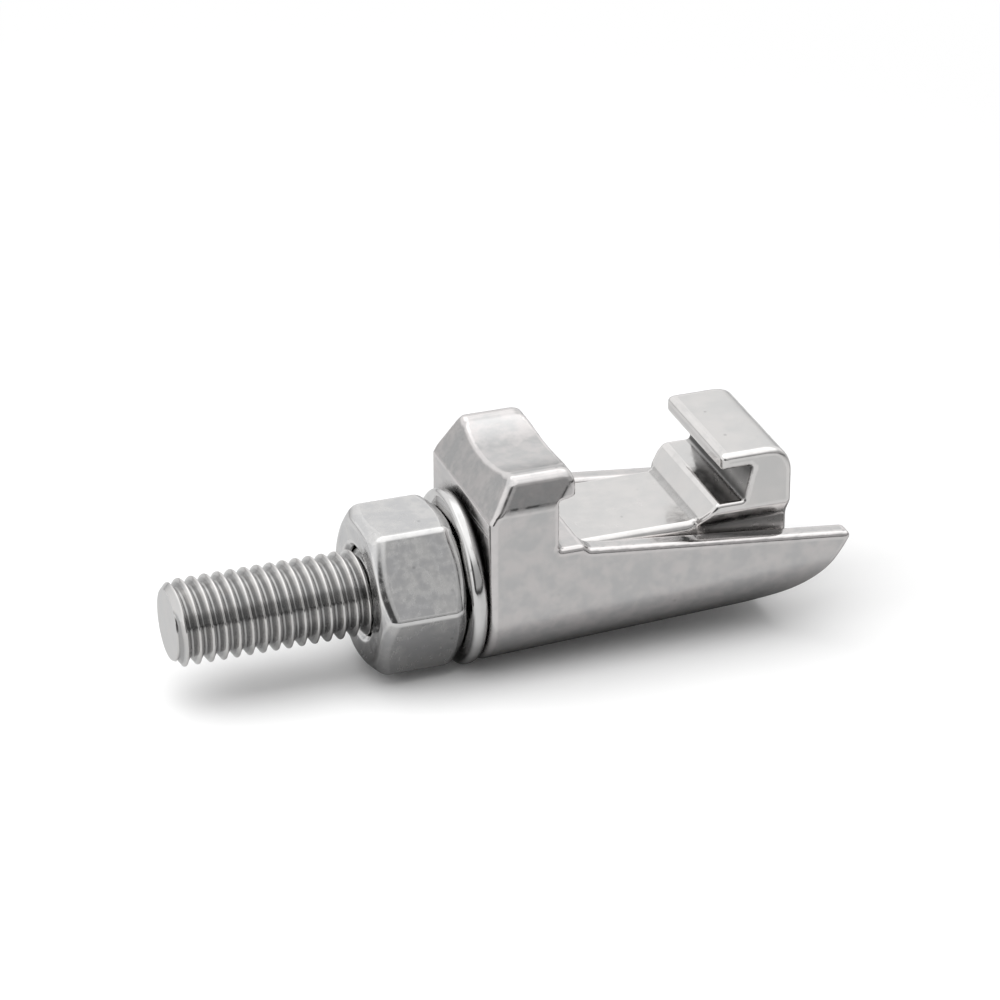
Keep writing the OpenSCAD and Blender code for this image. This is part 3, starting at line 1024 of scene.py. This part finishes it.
# %% [markdown]
# The washer keeps the even face of rolled sheet, so its clouds are faint and its waves low. Its round
# rim bends more than any cast edge, so the edge wear starts later on it.

# %% Stamped washer
stamped_washer = steel(
    "stamped_washer", cool=(0.56, 0.56, 0.56), warm=(0.6, 0.595, 0.59), roughness=0.16,
    cloud=dict(Size=2.5, Contrast=0.6),
    relief=dict(Wave_Height=0.004, Wave_Size=3.0, Grain_Height=0.0001, Grain_Size=0.25, Pit_Depth=0.002),
    bends=dict(Edge_Bend=1.3, Corner_Bend=0.9), marks=dict(Size=0.2, Length=8.0, Amount=0.5))
dress(flat_washer, stamped_washer)

# %% [markdown]
# Rolling presses the thread between two hard dies, which leaves the smoothest steel of all. Every
# crest and root bends sharply, so the edge wear and the painted corner shade start latest here and
# leave the thread its own shading.

# %% Rolled thread
rolled_thread = steel(
    "rolled_thread", cool=(0.56, 0.56, 0.56), warm=(0.6, 0.59, 0.58), roughness=0.12,
    cloud=dict(Size=1.6, Contrast=0.8),
    relief=dict(Wave_Height=0.002, Wave_Size=1.5, Grain_Height=0.0001, Grain_Size=0.2, Pit_Depth=0.002),
    bends=dict(Edge_Bend=1.5, Corner_Bend=1.5), marks=dict(Size=0.15, Length=10.0, Amount=0.25))
dress(threaded_stud, rolled_thread)

# %% [markdown]
# ## Studio
#
# Polished metal has no look of its own: it shows the room. A product photograph of steel is made
# with white panels and a few dark gaps between them, and the dark gaps draw the shape. The panels are
# painted here into the world, and only reflections see them. Everything else gets a plain level of
# light, and the camera sees white.
#
# The clamp lies on white paper. The camera sees it white, but all other rays meet a greyer paper that
# is darkest close beside the clamp, which gives the round undersides their deep tone. Far from the
# clamp the paper fades into plain white, so that no horizon shows.

# %% Floor
def plain_plane(name, low, high, z):
    """A flat rectangle between two corners."""
    mesh = bpy.data.meshes.new(name)
    corners = [(low[0], low[1], z), (high[0], low[1], z), (high[0], high[1], z), (low[0], high[1], z)]
    mesh.from_pydata(corners, [], [[0, 1, 2, 3]])
    made = bpy.data.objects.new(name, mesh)
    bpy.context.scene.collection.objects.link(made)
    return made


floor = plain_plane("floor", (-1.5, -1.0), (1.5, 2.0), -0.0001)
print("the floor is", tuple(round(side, 2) for side in floor.dimensions), "m")

# %% Shade beside the clamp
FLOOR_SEEN, FLOOR_PLAIN = 1.0, 0.69
SHADE_NEAR, SHADE_FAR, SHADE_LEVEL = 2.0, 20.0, 0.35
NUT_SIDE_X = -18.0
paper = bpy.data.materials.new("paper")
paper.use_nodes = True
tree = paper.node_tree
tree.nodes.clear()
shown = node(tree, "LightPath").outputs["Is Camera Ray"]
place = node(tree, "SeparateXYZ", {0: millimetres(tree)}).outputs
beside = sums(tree, "ABSOLUTE", place[1], 0.0)
past_nut = sums(tree, "MULTIPLY", sums(tree, "ADD", place[0], -NUT_SIDE_X), -2.0)
aside = sums(tree, "MAXIMUM", beside, past_nut)
shade = spread(tree, aside, SHADE_NEAR, SHADE_FAR, SHADE_LEVEL, 1.0)
reflected = sums(tree, "MULTIPLY", shade, FLOOR_PLAIN)
whiteness = sums(tree, "ADD", sums(tree, "MULTIPLY", shown, FLOOR_SEEN),
                 sums(tree, "MULTIPLY", sums(tree, "SUBTRACT", 1.0, shown), reflected))
print(f"other rays meet a paper of {FLOOR_PLAIN}, and {FLOOR_PLAIN * SHADE_LEVEL:.2f} beside the clamp")

# %% Fade to white
FADE_NEAR, FADE_FAR = 70, 220
matt = node(tree, "BsdfDiffuse", {"Color": whiteness})
white = node(tree, "Emission", {"Color": (1, 1, 1, 1), "Strength": 1.0})
away = node(tree, "VectorMath", {0: millimetres(tree)}, operation="LENGTH").outputs["Value"]
far = sums(tree, "MULTIPLY", shown, spread(tree, away, FADE_NEAR, FADE_FAR))
paper_look = node(tree, "MixShader", {0: far, 1: matt.outputs[0], 2: white.outputs[0]})
node(tree, "OutputMaterial", {"Surface": paper_look.outputs[0]})
floor.data.materials.append(paper)

# %% [markdown]
# One wide soft box hangs above, a little to the left, and gives the shadows their soft rim. It is
# hidden from reflections, because the painted panels are what the metal should show.

# %% Lamp
LAMP_WATTS = 4.9
LAMP_PLACE = (-0.22, -0.06, 0.55)
lamp_data = bpy.data.lights.new("top_softbox", "AREA")
lamp_data.shape = "RECTANGLE"
lamp_data.size, lamp_data.size_y = 0.8, 0.9
lamp_data.energy = LAMP_WATTS
lamp = bpy.data.objects.new("top_softbox", lamp_data)
lamp.location = LAMP_PLACE
lamp.visible_glossy = False
lamp.rotation_euler = (-Vector(LAMP_PLACE)).to_track_quat("-Z", "Y").to_euler()
bpy.context.scene.collection.objects.link(lamp)
print(f"the soft box gives {LAMP_WATTS} W")

# %% [markdown]
# The room is painted by height: a ramp for the front half of the sky, where the dark gap just above
# the floor and the grey wall over it draw the claws' sides, and a brighter ramp for the back half,
# where the light panels stand. Real panels with real lamps could do this, but each would also light
# the floor, and every change would move two things at once.

# %% Tools for the sky
world = bpy.data.worlds.new("studio")
world.use_nodes = True
bpy.context.scene.world = world
tree = world.node_tree
direction = node(tree, "TexCoord").outputs["Generated"]
axes = node(tree, "SeparateXYZ", {0: direction})


def grey(value):
    """A grey colour with full alpha."""
    return (value, value, value, 1)


def ramp(source, stops):
    """A grey ramp over a height from -1 to 1, from a list of (place, level)."""
    share = node(tree, "MapRange", {"Value": source, "From Min": -1.0, "From Max": 1.0})
    made = node(tree, "ValToRGB", {0: share.outputs[0]})
    elements = made.color_ramp.elements
    elements.remove(elements[1])
    elements[0].position = (stops[0][0] + 1) / 2
    for height, _ in stops[1:]:
        elements.new((height + 1) / 2)
    for element, (height, level) in zip(elements, stops):
        element.color = grey(level)
    return made.outputs[0]


def patch(centre, inner, outer):
    """1 inside a round patch of the sky and 0 outside, from two angles in degrees."""
    centre = Vector(centre).normalized()
    facing = node(tree, "VectorMath", {0: direction, 1: centre}, operation="DOT_PRODUCT").outputs["Value"]
    return spread(tree, facing, math.cos(math.radians(outer)), math.cos(math.radians(inner)))


# %% Walls and overhead panels
front_sky = ramp(axes.outputs["Z"], [
    (-1, 0.3), (0.0, 0.3), (0.02, 0.05), (0.08, 0.1), (0.16, 0.46), (0.4, 0.46), (0.58, 0.58),
    (0.75, 1.2), (0.95, 1.4)])
back_sky = ramp(axes.outputs["Z"], [
    (-1, 0.6), (0.0, 0.62), (0.07, 0.7), (0.25, 1.0), (0.46, 1.06), (0.56, 1.0), (0.8, 1.75),
    (0.95, 1.4)])
sky = blend(tree, spread(tree, axes.outputs["Y"], -0.35, 0.35), front_sky, back_sky)

# %% [markdown]
# Two things stand to the left: a bright panel at the far left, and a dark patch between it and the
# camera. Only the edges and rounds that turn that way mirror them. At the end, the Light Path node
# sorts the rays: reflections get the painted room, the camera plain white, and all other rays one
# plain level.

# %% Left panel, dark patch and rays
LEFT_PANEL, DARK_PATCH, DARK_SHARE = 1.1, 0.04, 0.9
AMBIENT = 0.38
sky = blend(tree, spread(tree, axes.outputs["X"], -0.6, -0.9), sky, grey(LEFT_PANEL))
dark = patch((-0.6, -0.74, 0.3), 14, 26)
sky = blend(tree, sums(tree, "MULTIPLY", dark, DARK_SHARE), sky, grey(DARK_PATCH))
path = node(tree, "LightPath")
seen = blend(tree, path.outputs["Is Glossy Ray"], grey(AMBIENT), sky)
seen = blend(tree, path.outputs["Is Camera Ray"], seen, grey(1.0))
tree.links.new(seen, tree.nodes["Background"].inputs[0])
print("nodes in the painted room:", len(tree.nodes))

# %% [markdown]
# ## Camera
#
# The photograph looks down on the clamp from its left front, from about half a metre away, which is
# why the stud's end looks a little larger than the toe.

# %% Camera
LENS, SENSOR = 160.74, 36
AZIMUTH, ELEVATION = math.radians(-19.9), math.radians(27.55)
STAND = Vector((-0.1455, -0.4147, 0.2386))
bpy.context.scene.view_settings.view_transform = "Standard"
camera_data = bpy.data.cameras.new("camera")
camera_data.lens = LENS
camera_data.sensor_width = SENSOR
camera_data.clip_start = 0.01
camera = bpy.data.objects.new("camera", camera_data)
back = Vector((math.sin(AZIMUTH) * math.cos(ELEVATION), -math.cos(AZIMUTH) * math.cos(ELEVATION),
               math.sin(ELEVATION)))
camera.location = Vector((end_face_x, 0, axis_z)) + STAND
camera.rotation_euler = back.to_track_quat("Z", "Y").to_euler()
bpy.context.scene.collection.objects.link(camera)
bpy.context.scene.camera = camera
print(f"the camera stands {STAND.length:.3f} m from the end face, at",
      tuple(round(v, 4) for v in camera.location))
